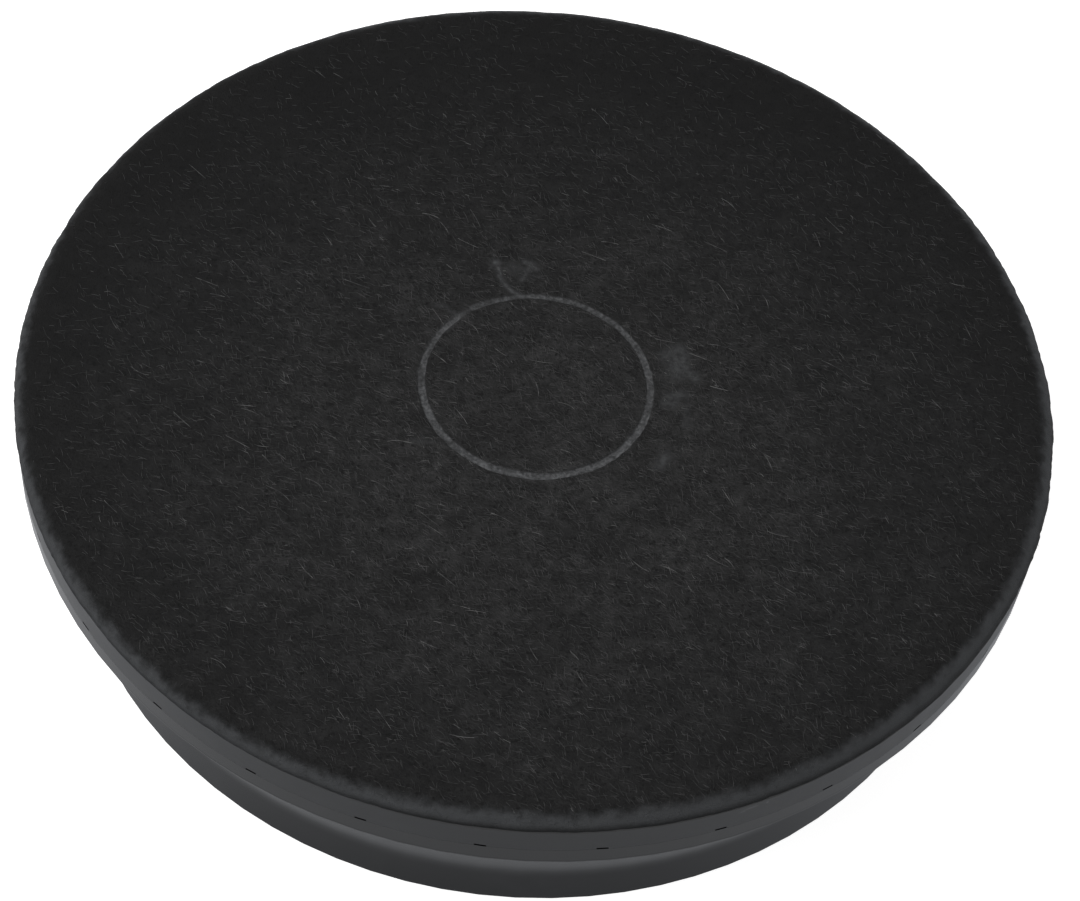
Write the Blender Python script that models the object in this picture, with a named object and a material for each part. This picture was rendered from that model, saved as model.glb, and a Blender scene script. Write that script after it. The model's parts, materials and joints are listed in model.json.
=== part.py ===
"""Round carbon filter cartridge for a cooker hood, standing on its foot ring, felt side up.

A moulded tray holds a bed of granular carbon on a thin fleece.  Its floor is an open grid, and its
hub is a blind tube with a bayonet socket.  A lid with spokes closes the bed, and a thick felt disc
is welded to the lid's rim and to the closed end of the hub.  Metres, +Z up, foot ring on z = 0.
"""

import math

import bmesh
import bpy
from mathutils import Matrix, Vector

# Overall form
RIM_RADIUS = 0.1164
FILTER_HEIGHT = 0.0500
FELT_THICKNESS = 0.0033
RIM_HEIGHT = 0.0135
LID_RIM_HEIGHT = 0.0078
RIM_TAPER = 0.0008
EDGE_CHAMFER = 0.0004

# Fit of pieces that touch
GAP = 0.0003

# Felt disc
FELT_OVERHANG = 0.0001
FELT_SHOULDER_WIDTH = 0.0048
FELT_SHOULDER_STEPS = 3
WELD_RING_RADIUS = 0.0256
WELD_RING_WIDTH = 0.0012
WELD_RING_DEPTH = 0.0005

# Tray: side wall, flange and skirt
WALL = 0.0018
FOOT_BAND_HEIGHT = 0.0083
FOOT_WIDTH = 0.0030
FOOT_EDGE_RADIUS = 0.0004
WALL_FLARE = 0.0080
WALL_BEND_RADIUS = 0.0110
WALL_STEPS = 3
FLANGE_WIDTH = 0.0045
FLANGE_THICKNESS = 0.0020
SKIRT_THICKNESS = 0.0019

# Tray: grid floor
GRID_RECESS = 0.0010
GRID_DEPTH = 0.0030
BAR_WIDTH = 0.0018
LONG_RIBS = 14
RING_COUNT = 3
SHORT_RIBS_FROM_RING = 1
LEDGE_WIDTH = 0.0028
LEDGE_STEP = 0.0002

# Tray: hub with its bayonet socket
HUB_WALL = 0.0020
HUB_MOUTH_Z = 0.0004
HUB_END_THICKNESS = 0.0018
WELD_BEAD_HEIGHT = 0.0012
LUG_COUNT = 3
LUG_SETBACK = 0.0008
LUG_REACH = 0.0030
LUG_HEIGHT = 0.0030
LUG_ANGLE = math.radians(38.0)
LUG_STOP_HEIGHT = 0.0045
LUG_STOP_ANGLE = math.radians(6.0)
NIB_COUNT = 4
NIB_REACH = 0.0016
NIB_HEIGHT = 0.0009
NIB_ANGLE = math.radians(12.0)

# Lid
LID_PLATE = 0.0019
LID_RIM_WIDTH = 0.0120
TONGUE_THICKNESS = 0.0016
SPOKE_COUNT = 8
SPOKE_WIDTH = 0.0040
SPOKE_START = math.radians(15.0)
LID_HUB_WIDTH = 0.0034
NOTCH_COUNT = 28
NOTCH_WIDTH = 0.0026
NOTCH_HEIGHT = 0.0004
NOTCH_DEPTH = 0.0006
NOTCH_START = math.radians(-90.4)

# Fleece under the bed
FLEECE_THICKNESS = 0.0006

# Facets round the circle
RIM_SEGMENTS = 80
HUB_SEGMENTS = 40
MERGE_DISTANCE = 1e-7
SHARP_ANGLE = math.radians(32.0)

# Heights
SEAM_Z = FILTER_HEIGHT - FELT_THICKNESS
LID_TOP_Z = SEAM_Z - GAP
JOINT_Z = SEAM_Z - LID_RIM_HEIGHT
FLANGE_Z = SEAM_Z - RIM_HEIGHT
FLANGE_TOP_Z = FLANGE_Z + FLANGE_THICKNESS
LID_UNDER_Z = LID_TOP_Z - LID_PLATE
FLOOR_Z = GRID_RECESS + GRID_DEPTH
GRID_Z = GRID_RECESS + LEDGE_STEP
GRID_TOP_Z = FLOOR_Z - LEDGE_STEP
FLEECE_Z = FLOOR_Z + GAP
BED_Z = FLEECE_Z + FLEECE_THICKNESS + GAP
BED_TOP_Z = LID_UNDER_Z - GAP
HUB_END_Z = LID_TOP_Z - WELD_BEAD_HEIGHT
LUG_Z = HUB_MOUTH_Z + LUG_SETBACK

# Radii
JOINT_RADIUS = RIM_RADIUS - RIM_TAPER * LID_RIM_HEIGHT / RIM_HEIGHT
RIM_BOTTOM_RADIUS = RIM_RADIUS - RIM_TAPER
WALL_TOP_RADIUS = RIM_BOTTOM_RADIUS - FLANGE_WIDTH
FOOT_RADIUS = WALL_TOP_RADIUS - WALL_FLARE
FOOT_INNER_RADIUS = FOOT_RADIUS - FOOT_WIDTH
LEDGE_RADIUS = FOOT_INNER_RADIUS - LEDGE_WIDTH
SKIRT_INNER_RADIUS = RIM_BOTTOM_RADIUS - SKIRT_THICKNESS
TONGUE_RADIUS = SKIRT_INNER_RADIUS - GAP
TONGUE_INNER_RADIUS = TONGUE_RADIUS - TONGUE_THICKNESS
LID_OPENING_RADIUS = TONGUE_INNER_RADIUS - LID_RIM_WIDTH
HUB_RADIUS = WELD_RING_RADIUS + HUB_WALL / 2.0
SOCKET_RADIUS = WELD_RING_RADIUS - HUB_WALL / 2.0
LID_HUB_INNER_RADIUS = HUB_RADIUS + GAP
LID_HUB_RADIUS = LID_HUB_INNER_RADIUS + LID_HUB_WIDTH

BLACK_PLASTIC = (0.013, 0.013, 0.014)
DARK_PLASTIC = (0.011, 0.012, 0.012)
BLACK_FELT = (0.010, 0.010, 0.010)
GREY_FLEECE = (0.022, 0.022, 0.023)
CARBON_BLACK = (0.006, 0.006, 0.006)


def clear_scene():
    """Remove every object that the new file starts with."""
    for item in list(bpy.data.objects):
        bpy.data.objects.remove(item, do_unlink=True)


def make_material(name, colour, roughness):
    """Return a plain Principled material."""
    material = bpy.data.materials.new(name)
    material.use_nodes = True
    shader = material.node_tree.nodes["Principled BSDF"]
    shader.inputs["Base Color"].default_value = (*colour, 1.0)
    shader.inputs["Roughness"].default_value = roughness
    shader.inputs["Metallic"].default_value = 0.0
    material.diffuse_color = (*colour, 1.0)
    return material


def add_object(name, shape, material):
    """Turn a bmesh into a named object with smooth round faces."""
    bmesh.ops.recalc_face_normals(shape, faces=shape.faces)
    mesh = bpy.data.meshes.new(name)
    shape.to_mesh(mesh)
    shape.free()
    mesh.materials.append(material)
    mesh.shade_smooth()
    mesh.set_sharp_from_angle(angle=SHARP_ANGLE)
    item = bpy.data.objects.new(name, mesh)
    bpy.context.collection.objects.link(item)
    return item


def combine(target, form, operation):
    """Join a hidden form to the target, or cut it away."""
    modifier = target.modifiers.new(form.name, "BOOLEAN")
    modifier.operation = operation
    modifier.solver = "EXACT"
    modifier.object = form
    form.hide_render = True
    form.display_type = "WIRE"


def add_turned(shape, outline, segments):
    """Spin an outline of (radius, height) points about Z; one that starts off the axis is closed."""
    verts = [shape.verts.new((radius, 0.0, height)) for radius, height in outline]
    edges = [shape.edges.new(pair) for pair in zip(verts, verts[1:])]
    if outline[0][0] > 0.0:
        edges.append(shape.edges.new((verts[-1], verts[0])))
    bmesh.ops.spin(
        shape,
        geom=verts + edges,
        cent=(0.0, 0.0, 0.0),
        axis=(0.0, 0.0, 1.0),
        angle=math.tau,
        steps=segments,
        use_merge=True,
    )
    bmesh.ops.remove_doubles(shape, verts=shape.verts, dist=MERGE_DISTANCE)


def turned(outline, segments):
    """Return a bmesh of one turned solid."""
    shape = bmesh.new()
    add_turned(shape, outline, segments)
    return shape


def add_prism(shape, corners, low_z, high_z):
    """Add an upright prism on the given (x, y) corners."""
    base = shape.faces.new([shape.verts.new((x, y, low_z)) for x, y in corners])
    raised = bmesh.ops.extrude_face_region(shape, geom=[base], use_keep_orig=True)
    for item in raised["geom"]:
        if isinstance(item, bmesh.types.BMVert):
            item.co.z = high_z


def add_bar(shape, start_radius, end_radius, width, low_z, high_z, angle):
    """Add a straight radial bar of rectangular section."""
    half = width / 2.0
    corners = [(start_radius, -half), (end_radius, -half), (end_radius, half), (start_radius, half)]
    turn = Matrix.Rotation(angle, 2)
    add_prism(shape, [turn @ Vector(corner) for corner in corners], low_z, high_z)


def add_sector(shape, inner, outer, low_z, high_z, start, sweep, steps):
    """Add a block that is a sector of a ring, from the angle start through sweep."""
    angles = [start + sweep * step / steps for step in range(steps + 1)]
    corners = [(outer * math.cos(angle), outer * math.sin(angle)) for angle in angles]
    corners += [(inner * math.cos(angle), inner * math.sin(angle)) for angle in reversed(angles)]
    add_prism(shape, corners, low_z, high_z)


def rounded_corner(centre_radius, centre_z, radius, start, end, steps):
    """Return the points of an arc in the outline's plane."""
    points = []
    for step in range(steps + 1):
        angle = start + (end - start) * step / steps
        points.append(
            (centre_radius + radius * math.cos(angle), centre_z + radius * math.sin(angle))
        )
    return points


def flared_wall(offset, top_z, steps):
    """Return the side wall's section from the foot band up: upright, then a bend, then a cone.

    The outer face has offset 0, and its cone ends at the flange's root.  The inner face is offset
    towards the axis.
    """
    rise = FLANGE_Z - FOOT_BAND_HEIGHT
    reach = WALL_BEND_RADIUS - WALL_FLARE
    share = min(1.0, WALL_BEND_RADIUS / math.hypot(rise, reach))
    lean = math.atan2(rise, reach) - math.acos(share)
    centre = FOOT_RADIUS + WALL_BEND_RADIUS
    radius = WALL_BEND_RADIUS + offset
    points = []
    for step in range(steps + 1):
        angle = lean * step / steps
        points.append((centre - radius * math.cos(angle), FOOT_BAND_HEIGHT + radius * math.sin(angle)))
    bend_radius, bend_z = points[-1]
    points.append((bend_radius + (top_z - bend_z) * math.tan(lean), top_z))
    return points


def tray_shell_outline():
    """Return the section of the foot, side wall, flange and skirt."""
    foot_edge = rounded_corner(
        FOOT_RADIUS - FOOT_EDGE_RADIUS,
        FOOT_EDGE_RADIUS,
        FOOT_EDGE_RADIUS,
        -math.pi / 2.0,
        0.0,
        2,
    )
    outer_wall = flared_wall(0.0, FLANGE_Z, WALL_STEPS)
    inner_wall = flared_wall(WALL, FLANGE_TOP_Z, WALL_STEPS - 2)
    return (
        [(FOOT_INNER_RADIUS, 0.0)]
        + foot_edge
        + outer_wall
        + [
            (RIM_BOTTOM_RADIUS - EDGE_CHAMFER, FLANGE_Z),
            (RIM_BOTTOM_RADIUS, FLANGE_Z + EDGE_CHAMFER),
            (JOINT_RADIUS, JOINT_Z - GAP / 2.0),
            (SKIRT_INNER_RADIUS, JOINT_Z - GAP / 2.0),
            (SKIRT_INNER_RADIUS, FLANGE_TOP_Z),
        ]
        + list(reversed(inner_wall))
        + [
            (FOOT_RADIUS - WALL, FLOOR_Z),
            (LEDGE_RADIUS, FLOOR_Z),
            (LEDGE_RADIUS, GRID_RECESS),
            (FOOT_INNER_RADIUS, GRID_RECESS),
        ]
    )


def hub_outline():
    """Return the section of the blind hub tube, with the weld bead standing round its end."""
    return [
        (0.0, HUB_END_Z - HUB_END_THICKNESS),
        (SOCKET_RADIUS, HUB_END_Z - HUB_END_THICKNESS),
        (SOCKET_RADIUS, HUB_MOUTH_Z),
        (HUB_RADIUS, HUB_MOUTH_Z),
        (HUB_RADIUS, LID_TOP_Z),
        (SOCKET_RADIUS, LID_TOP_Z),
        (SOCKET_RADIUS, HUB_END_Z),
        (0.0, HUB_END_Z),
    ]


def grid_loops(shape):
    """Return the grid's nodes ring by ring, from inside the hub's wall to inside the ledge.

    The first rings have a node at each long rib.  From the ring where the short ribs start, there
    is a node at each short rib too.
    """
    pitch = (LEDGE_RADIUS - HUB_RADIUS) / (RING_COUNT + 1)
    radii = [HUB_RADIUS + pitch * (index + 1) for index in range(RING_COUNT)]
    outermost = (LEDGE_RADIUS + BAR_WIDTH / 2.0 + GAP) / math.cos(math.pi / (2 * LONG_RIBS))
    loops = []
    for index, radius in enumerate([WELD_RING_RADIUS] + radii + [outermost]):
        count = LONG_RIBS if index < SHORT_RIBS_FROM_RING else 2 * LONG_RIBS
        angles = [math.tau * step / count for step in range(count)]
        loops.append(
            [shape.verts.new((radius * math.cos(a), radius * math.sin(a), GRID_Z)) for a in angles]
        )
    return loops


def grid_plate():
    """Return the open grid: a web of cells, each cell's opening inset by half a bar."""
    shape = bmesh.new()
    cells = []
    loops = grid_loops(shape)
    for inner, outer in zip(loops, loops[1:]):
        share = len(outer) // len(inner)
        for index, start in enumerate(inner):
            far = [outer[(index * share + step) % len(outer)] for step in range(share + 1)]
            cells.append(shape.faces.new([start] + far + [inner[(index + 1) % len(inner)]]))
    shape.normal_update()
    bmesh.ops.inset_individual(
        shape, faces=cells, thickness=BAR_WIDTH / 2.0, use_even_offset=True
    )
    bmesh.ops.delete(shape, geom=cells, context="FACES")
    web = list(shape.faces)
    raised = bmesh.ops.extrude_face_region(shape, geom=web, use_keep_orig=True)
    for item in raised["geom"]:
        if isinstance(item, bmesh.types.BMVert):
            item.co.z = GRID_TOP_Z
    return shape


def bayonet_lugs():
    """Return the lugs inside the socket's mouth, with a stop at the end of each."""
    shape = bmesh.new()
    inner = SOCKET_RADIUS - LUG_REACH
    for index in range(LUG_COUNT):
        start = math.tau * index / LUG_COUNT - LUG_ANGLE / 2.0
        add_sector(shape, inner, WELD_RING_RADIUS, LUG_Z, LUG_Z + LUG_HEIGHT, start, LUG_ANGLE, 4)
    return shape


def bayonet_stops():
    """Return the upright stops, which end the turn of the mating part."""
    shape = bmesh.new()
    inner = SOCKET_RADIUS - LUG_REACH
    low = LUG_Z + LUG_HEIGHT / 2.0
    high = LUG_Z + LUG_HEIGHT + LUG_STOP_HEIGHT
    for index in range(LUG_COUNT):
        start = math.tau * index / LUG_COUNT - LUG_ANGLE / 2.0
        add_sector(shape, inner, WELD_RING_RADIUS, low, high, start, LUG_STOP_ANGLE, 1)
    return shape


def hub_blocks(inner, outer, low_z, high_z, sweep):
    """Return one block for each nib, set between the lid's spokes."""
    shape = bmesh.new()
    for index in range(NIB_COUNT):
        middle = SPOKE_START + math.pi / SPOKE_COUNT + math.tau * index / NIB_COUNT
        add_sector(shape, inner, outer, low_z, high_z, middle - sweep / 2.0, sweep, 1)
    return shape


def make_tray(material):
    """Build the lower moulding."""
    tray = add_object("tray", turned(tray_shell_outline(), RIM_SEGMENTS), material)
    nib_top = LID_TOP_Z - GAP / 2.0
    nibs = hub_blocks(
        WELD_RING_RADIUS, LID_HUB_INNER_RADIUS + NIB_REACH, nib_top - NIB_HEIGHT, nib_top, NIB_ANGLE
    )
    forms = (
        ("grid_form", grid_plate()),
        ("hub_form", turned(hub_outline(), HUB_SEGMENTS)),
        ("bayonet_lugs_form", bayonet_lugs()),
        ("bayonet_stops_form", bayonet_stops()),
        ("hub_nibs_form", nibs),
    )
    for name, shape in forms:
        combine(tray, add_object(name, shape, material), "UNION")
    return tray


def lid_rim_outline():
    """Return the section of the lid's rim, with the tongue that drops inside the tray's skirt."""
    return [
        (RIM_RADIUS - EDGE_CHAMFER, LID_TOP_Z),
        (LID_OPENING_RADIUS, LID_TOP_Z),
        (LID_OPENING_RADIUS, LID_UNDER_Z),
        (TONGUE_INNER_RADIUS, LID_UNDER_Z),
        (TONGUE_INNER_RADIUS, FLANGE_TOP_Z + GAP),
        (TONGUE_RADIUS, FLANGE_TOP_Z + GAP),
        (TONGUE_RADIUS, JOINT_Z + GAP / 2.0),
        (JOINT_RADIUS - EDGE_CHAMFER / 2.0, JOINT_Z + GAP / 2.0),
        (JOINT_RADIUS, JOINT_Z + GAP / 2.0 + EDGE_CHAMFER / 2.0),
        (RIM_RADIUS, LID_TOP_Z - EDGE_CHAMFER),
    ]


def lid_hub():
    """Return the flat ring that fits round the tray's hub."""
    outline = [
        (LID_HUB_INNER_RADIUS, LID_TOP_Z),
        (LID_HUB_INNER_RADIUS, LID_UNDER_Z),
        (LID_HUB_RADIUS, LID_UNDER_Z),
        (LID_HUB_RADIUS, LID_TOP_Z),
    ]
    return turned(outline, HUB_SEGMENTS)


def lid_spokes():
    """Return the spokes between the lid's hub ring and its rim."""
    shape = bmesh.new()
    start = (LID_HUB_INNER_RADIUS + LID_HUB_RADIUS) / 2.0
    end = (LID_OPENING_RADIUS + TONGUE_INNER_RADIUS) / 2.0
    for index in range(SPOKE_COUNT):
        angle = SPOKE_START + math.tau * index / SPOKE_COUNT
        add_bar(shape, start, end, SPOKE_WIDTH, LID_UNDER_Z, LID_TOP_Z, angle)
    return shape


def rim_notches():
    """Return the cutters for the small snap notches along the lid's lower edge."""
    shape = bmesh.new()
    sweep = NOTCH_WIDTH / JOINT_RADIUS
    inner = JOINT_RADIUS - NOTCH_DEPTH
    outer = RIM_RADIUS + NOTCH_DEPTH
    high = JOINT_Z + GAP / 2.0 + NOTCH_HEIGHT
    for index in range(NOTCH_COUNT):
        start = NOTCH_START + math.tau * index / NOTCH_COUNT - sweep / 2.0
        add_sector(shape, inner, outer, JOINT_Z, high, start, sweep, 1)
    return shape


def make_lid(material):
    """Build the upper moulding."""
    lid = add_object("lid", turned(lid_rim_outline(), RIM_SEGMENTS), material)
    combine(lid, add_object("lid_spokes_form", lid_spokes(), material), "UNION")
    combine(lid, add_object("lid_hub_form", lid_hub(), material), "UNION")
    side_gap = GAP / HUB_RADIUS
    pockets = hub_blocks(
        HUB_RADIUS,
        LID_HUB_INNER_RADIUS + NIB_REACH + GAP,
        LID_TOP_Z - GAP / 2.0 - NIB_HEIGHT - GAP,
        LID_TOP_Z + LID_PLATE,
        NIB_ANGLE + 2.0 * side_gap,
    )
    combine(lid, add_object("nib_pockets_form", pockets, material), "DIFFERENCE")
    combine(lid, add_object("rim_notches_form", rim_notches(), material), "DIFFERENCE")
    return lid


def felt_shoulder():
    """Return the felt's shoulder, an arc from its cut lower edge up to its flat top."""
    bend = (FELT_SHOULDER_WIDTH**2 + FELT_THICKNESS**2) / (2.0 * FELT_THICKNESS)
    return rounded_corner(
        RIM_RADIUS + FELT_OVERHANG - FELT_SHOULDER_WIDTH,
        FILTER_HEIGHT - bend,
        bend,
        math.asin(1.0 - FELT_THICKNESS / bend),
        math.pi / 2.0,
        FELT_SHOULDER_STEPS,
    )


def make_top_felt(material):
    """Build the felt disc, with its rounded shoulder and the groove of the weld ring."""
    half_floor = WELD_RING_WIDTH / 2.0
    half_mouth = half_floor + WELD_RING_DEPTH
    outline = (
        [(0.0, SEAM_Z)]
        + felt_shoulder()
        + [
            (WELD_RING_RADIUS + half_mouth, FILTER_HEIGHT),
            (WELD_RING_RADIUS + half_floor, FILTER_HEIGHT - WELD_RING_DEPTH),
            (WELD_RING_RADIUS - half_floor, FILTER_HEIGHT - WELD_RING_DEPTH),
            (WELD_RING_RADIUS - half_mouth, FILTER_HEIGHT),
            (0.0, FILTER_HEIGHT),
        ]
    )
    return add_object("top_felt", turned(outline, RIM_SEGMENTS), material)


def make_bottom_fleece(material):
    """Build the thin fleece that lies on the grid and keeps the granules in."""
    inner = HUB_RADIUS + GAP
    outer = FOOT_RADIUS - WALL - GAP
    outline = [
        (inner, FLEECE_Z + FLEECE_THICKNESS),
        (inner, FLEECE_Z),
        (outer, FLEECE_Z),
        (outer, FLEECE_Z + FLEECE_THICKNESS),
    ]
    return add_object("bottom_fleece", turned(outline, HUB_SEGMENTS), material)


def make_carbon_bed(material):
    """Build the bed of granules as one ring that fills the room inside the tray and lid."""
    inner = HUB_RADIUS + GAP
    wall = flared_wall(WALL + GAP, FLANGE_TOP_Z, WALL_STEPS - 2)
    top_radius = min(wall[-1][0], TONGUE_INNER_RADIUS - GAP)
    outline = (
        [(inner, BED_TOP_Z), (inner, BED_Z), (FOOT_RADIUS - WALL - GAP, BED_Z)]
        + [(min(radius, top_radius), height) for radius, height in wall]
        + [(top_radius, BED_TOP_Z)]
    )
    return add_object("carbon_bed", turned(outline, HUB_SEGMENTS), material)


def main():
    """Build every piece of the cartridge."""
    clear_scene()
    make_tray(make_material("tray_plastic", BLACK_PLASTIC, 0.38))
    make_lid(make_material("lid_plastic", DARK_PLASTIC, 0.42))
    make_top_felt(make_material("felt", BLACK_FELT, 0.95))
    make_bottom_fleece(make_material("fleece", GREY_FLEECE, 0.90))
    make_carbon_bed(make_material("carbon", CARBON_BLACK, 0.70))


main()
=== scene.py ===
"""Looks of a round carbon filter cartridge for a cooker hood, standing on its foot ring.

The mouldings are smooth copies of the frame's solids, with a rounder rim edge, a wider bend in the
side wall and a closer joint, and get a satin moulded finish.  The felt disc, its loose fibres and
the fleece under the carbon are made here, because a plain solid can't show them.
All sizes are in metres, and azimuths are measured from +X about +Z.
"""

from __future__ import annotations

import json
import logging
import math
from dataclasses import dataclass, replace
from enum import Enum

import bmesh
import bpy
import numpy as np
from bmesh.types import BMesh, BMFace, BMVert
from bpy.types import Material, Mesh, Node, NodeSocket, NodeTree, Object
from mathutils import Matrix, Vector, noise

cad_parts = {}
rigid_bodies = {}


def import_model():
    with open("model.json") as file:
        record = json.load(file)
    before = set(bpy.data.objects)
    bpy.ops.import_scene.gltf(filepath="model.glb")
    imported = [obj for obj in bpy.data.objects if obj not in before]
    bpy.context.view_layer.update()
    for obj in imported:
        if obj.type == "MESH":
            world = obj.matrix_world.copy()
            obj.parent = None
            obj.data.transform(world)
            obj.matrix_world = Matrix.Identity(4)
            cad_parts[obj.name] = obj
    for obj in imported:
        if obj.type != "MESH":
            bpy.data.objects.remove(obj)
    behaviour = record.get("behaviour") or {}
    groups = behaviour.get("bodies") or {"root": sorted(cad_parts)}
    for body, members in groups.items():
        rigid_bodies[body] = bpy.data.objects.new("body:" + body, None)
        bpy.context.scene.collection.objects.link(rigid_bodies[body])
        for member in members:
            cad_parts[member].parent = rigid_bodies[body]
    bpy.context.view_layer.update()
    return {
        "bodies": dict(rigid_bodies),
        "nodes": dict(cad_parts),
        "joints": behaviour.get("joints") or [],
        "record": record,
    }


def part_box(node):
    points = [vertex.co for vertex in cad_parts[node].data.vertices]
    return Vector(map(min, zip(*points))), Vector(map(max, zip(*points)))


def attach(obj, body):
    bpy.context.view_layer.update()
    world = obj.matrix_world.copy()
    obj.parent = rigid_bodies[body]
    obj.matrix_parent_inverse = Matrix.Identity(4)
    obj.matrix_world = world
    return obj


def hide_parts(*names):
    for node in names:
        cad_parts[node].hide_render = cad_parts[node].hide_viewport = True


log = logging.getLogger("filter")

BODY = "root"
MILLIMETRE = 0.001
MERGE_DISTANCE = 0.00001
RIM_SURFACE = 0.1160
GRANULE = 0.0030
WHITE = (1.0, 1.0, 1.0)

Colour = tuple[float, float, float]


class NodeGraph:
    """A short way to add and join the nodes of one tree."""

    def __init__(self, tree: NodeTree) -> None:
        """Take the tree to build in.

        Args:
            tree: A shader or geometry node tree.
        """
        self.tree = tree

    def add(self, kind: str, **settings: object) -> Node:
        """Add a node.

        Args:
            kind: The node's type name.
            settings: Properties to set on it before its sockets are used.

        Returns:
            The new node.
        """
        node = self.tree.nodes.new(kind)
        for name, value in settings.items():
            setattr(node, name, value)
        return node

    def feed(self, socket: NodeSocket, value: object) -> None:
        """Link a socket to another one, or set its own value.

        Args:
            socket: The input to feed.
            value: An output socket, or a plain value.
        """
        if isinstance(value, NodeSocket):
            self.tree.links.new(value, socket)
        else:
            socket.default_value = value

    def put(self, node: Node, **inputs: object) -> Node:
        """Feed a node's inputs by name, where an underscore stands for a space.

        Args:
            node: The node to feed.
            inputs: The values or sockets, keyed by input name.

        Returns:
            The same node.
        """
        for name, value in inputs.items():
            wanted = name.replace("_", " ")
            socket = next(s for s in node.inputs if s.name == wanted and s.enabled)
            self.feed(socket, value)
        return node

    def math(self, operation: str, *values: object, clamp: bool = False) -> NodeSocket:
        """Add a math node.

        Args:
            operation: The operation's name.
            values: One value or socket for each input.
            clamp: Whether the result is kept from 0 to 1.

        Returns:
            The node's output.
        """
        node = self.add("ShaderNodeMath", operation=operation, use_clamp=clamp)
        for socket, value in zip(node.inputs, values):
            self.feed(socket, value)
        return node.outputs[0]

    def times(self, first: object, second: object, clamp: bool = False) -> NodeSocket:
        """Multiply two values or sockets."""
        return self.math("MULTIPLY", first, second, clamp=clamp)

    def ramp(
        self, value: object, low: float, high: float, start: float = 0.0, end: float = 1.0
    ) -> NodeSocket:
        """Add a smooth step from start to end as the value goes from low to high.

        Args:
            value: The value or socket to map.
            low: Where the step starts.
            high: Where the step ends.
            start: The result below low.
            end: The result above high.

        Returns:
            The mapped value.
        """
        node = self.add("ShaderNodeMapRange", interpolation_type="SMOOTHSTEP")
        self.put(node, Value=value, From_Min=low, From_Max=high, To_Min=start, To_Max=end)
        return node.outputs["Result"]

    def mixed(self, factor: object, first: object, second: object) -> NodeSocket:
        """Mix two colours.

        Args:
            factor: 0 for the first and 1 for the second.
            first: A colour or socket.
            second: A colour or socket.

        Returns:
            The mixed colour.
        """
        node = self.add("ShaderNodeMix", data_type="RGBA", clamp_factor=True)
        colours = [
            (*value, 1.0) if isinstance(value, tuple) and len(value) == 3 else value
            for value in (first, second)
        ]
        self.put(node, Factor=factor, A=colours[0], B=colours[1])
        return next(s for s in node.outputs if s.enabled)


class SurfaceGraph(NodeGraph):
    """A shader tree round one Principled BSDF, with patterns on Object coordinates."""

    def __init__(self, name: str) -> None:
        """Make the material.

        Args:
            name: The material's name.
        """
        self.material = bpy.data.materials.new(name)
        self.material.use_nodes = True
        super().__init__(self.material.node_tree)
        self.shader = self.tree.nodes["Principled BSDF"]
        self.place = self.add("ShaderNodeTexCoord").outputs["Object"]

    def shade(self, **inputs: object) -> None:
        """Feed inputs of the shader by name, where an underscore stands for a space."""
        self.put(self.shader, **inputs)

    def grain(
        self, scale: float, detail: float = 2.0, where: object = None, distortion: float = 0.0
    ) -> NodeSocket:
        """Add a noise pattern.

        Args:
            scale: Features in a metre.
            detail: Octaves of finer noise.
            where: The coordinates, or None for the piece's own place.
            distortion: How far the pattern is bent by itself.

        Returns:
            The noise, about 0 to 1.
        """
        node = self.add("ShaderNodeTexNoise")
        place = self.place if where is None else where
        self.put(node, Vector=place, Scale=scale, Detail=detail, Distortion=distortion)
        return node.outputs[0]

    def streaks(
        self, angle: float, length: float, width: float, low: float, high: float, shift: float
    ) -> NodeSocket:
        """Add thin streaks that lie along one direction, as combed fibres do.

        Args:
            angle: The direction about Z, in degrees.
            length: A streak's length.
            width: A streak's width.
            low: The noise level where a streak starts to show.
            high: The noise level where it shows fully.
            shift: Moves the pattern, so that two layers differ.

        Returns:
            The streaks' strength from 0 to 1.
        """
        mapping = self.add("ShaderNodeMapping", vector_type="TEXTURE")
        self.put(
            mapping,
            Vector=self.place,
            Location=(shift, shift, 0.0),
            Rotation=(0.0, 0.0, math.radians(angle)),
            Scale=(length, width, width),
        )
        bent = self.grain(0.9, 1.0, mapping.outputs[0], 0.5)
        return self.ramp(bent, low, high)

    def share(self, name: str) -> NodeSocket:
        """Read one of the piece's own point values by its name."""
        return self.add("ShaderNodeAttribute", attribute_name=name).outputs["Fac"]

    def bump(self, height: object, strength: float, depth: float) -> None:
        """Bump the surface.

        Args:
            height: The height pattern, 0 to 1.
            strength: The share of the effect.
            depth: The height's full depth.
        """
        node = self.add("ShaderNodeBump")
        self.put(node, Strength=strength, Distance=depth, Height=height)
        self.shade(Normal=node.outputs[0])


@dataclass(frozen=True)
class Scuff:
    """A small rubbed mark on a rim, at an azimuth in degrees and a height."""

    azimuth: float
    height: float
    length: float
    width: float
    colour: Colour = (0.050, 0.050, 0.053)

    def strength(self, graph: SurfaceGraph) -> NodeSocket:
        """Give the mark's strength, with a ragged border.

        Args:
            graph: The tree to build in.

        Returns:
            0 off the mark and 1 in its middle.
        """
        turn = math.radians(self.azimuth)
        mapping = graph.add("ShaderNodeMapping", vector_type="TEXTURE")
        graph.put(
            mapping,
            Vector=graph.place,
            Location=(RIM_SURFACE * math.cos(turn), RIM_SURFACE * math.sin(turn), self.height),
            Rotation=(0.0, 0.0, turn),
            Scale=(self.length, self.length, self.width),
        )
        away = graph.add("ShaderNodeVectorMath", operation="LENGTH")
        graph.feed(away.inputs[0], mapping.outputs[0])
        ragged = graph.math("MULTIPLY_ADD", graph.grain(1500.0, 3.0), 0.9, away.outputs["Value"])
        return graph.ramp(ragged, 0.75, 1.35, 1.0, 0.0)


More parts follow.
